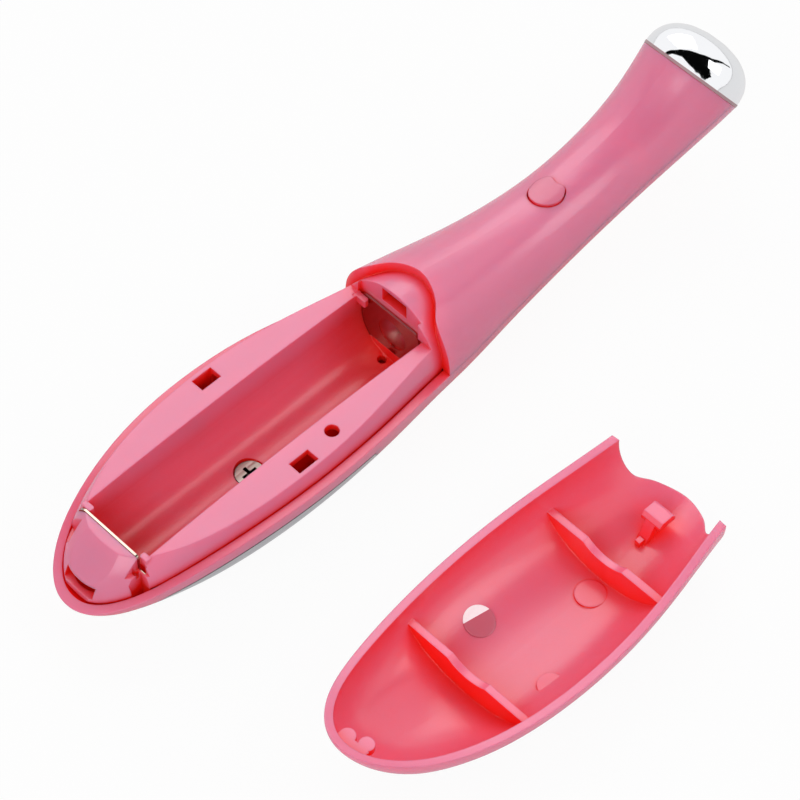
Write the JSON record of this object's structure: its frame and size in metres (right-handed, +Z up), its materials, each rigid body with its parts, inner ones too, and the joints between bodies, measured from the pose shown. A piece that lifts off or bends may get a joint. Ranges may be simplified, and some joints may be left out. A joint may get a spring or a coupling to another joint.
{
  "type": "heated eye massager wand",
  "caption": "Slim battery wand with a chromed massage head, a push button, an open battery bay and its loose cover lying beside it, inside up.",
  "frame": {"origin": "centre of the footprint of the wand and its cover, on the surface they lie on", "axes": "+X along the wand towards its massage head, +Z up, away from the belly"},
  "size_m": [0.116, 0.0642, 0.0232],
  "materials": {
    "housing_pink": "glossy moulded ABS",
    "button_pink": "glossy moulded ABS",
    "board_green": "solder-masked laminate",
    "contact_nickel": "nickel-plated spring sheet",
    "chip_black": "moulded epoxy",
    "weight_iron": "sintered heavy metal",
    "plate_silver": "bright rolled sheet",
    "head_chrome": "mirror-polished plating",
    "ring_grey": "satin insulating plastic",
    "seat_white": "plain moulded plastic",
    "pad_grey": "soft silicone",
    "heater_ceramic": "sintered alumina",
    "lead_red": "soft insulation",
    "lead_black": "soft insulation",
    "motor_steel": "plated drawn steel",
    "motor_nylon": "moulded nylon",
    "shaft_steel": "ground steel",
    "sleeve_rubber": "soft rubber",
    "solder_tin": "solder",
    "switch_black": "moulded plastic",
    "plunger_white": "moulded plastic",
    "screw_nickel": "nickel-plated steel"
  },
  "bodies": {
    "wand": {"back_housing": "housing_pink", "circuit_board": "board_green", "contact_neck": "contact_nickel", "contact_nose": "contact_nickel", "driver_chip": "chip_black", "front_housing": "housing_pink", "front_plate": "plate_silver", "head_cap": "head_chrome", "head_ring": "ring_grey", "head_seat": "seat_white", "heat_pad": "pad_grey", "heater_disc": "heater_ceramic", "lead_battery_neck": "lead_red", "lead_battery_nose": "lead_black", "lead_heater_a": "lead_red", "lead_heater_b": "lead_black", "lead_motor_a": "lead_red", "lead_motor_b": "lead_black", "motor_can": "motor_steel", "motor_end_cap": "motor_nylon", "motor_sleeve": "sleeve_rubber", "solder_joints": "solder_tin", "switch_body": "switch_black", "tray_screw": "screw_nickel"},
    "cover": {"battery_cover": "housing_pink"},
    "button": {"button_cap": "button_pink", "switch_plunger": "plunger_white"},
    "rotor": {"motor_shaft": "shaft_steel", "eccentric_weight": "weight_iron"}
  },
  "joints": [
    {"name": "cover_lift", "type": "slide", "parent": "wand", "child": "cover", "axis": [0, 0, 1], "range_m": [0, 0.05]},
    {"name": "button_press", "type": "slide", "parent": "wand", "child": "button", "axis": [0, 0, -1], "range_m": [0, 0.0004], "stiffness_N_per_m": 2500},
    {"name": "motor_spin", "type": "hinge", "parent": "wand", "child": "rotor", "pos_m": [0.03815, 0.01997, 0.01111], "axis": [0.9681, 0, 0.2504], "continuous": true}
  ]
}
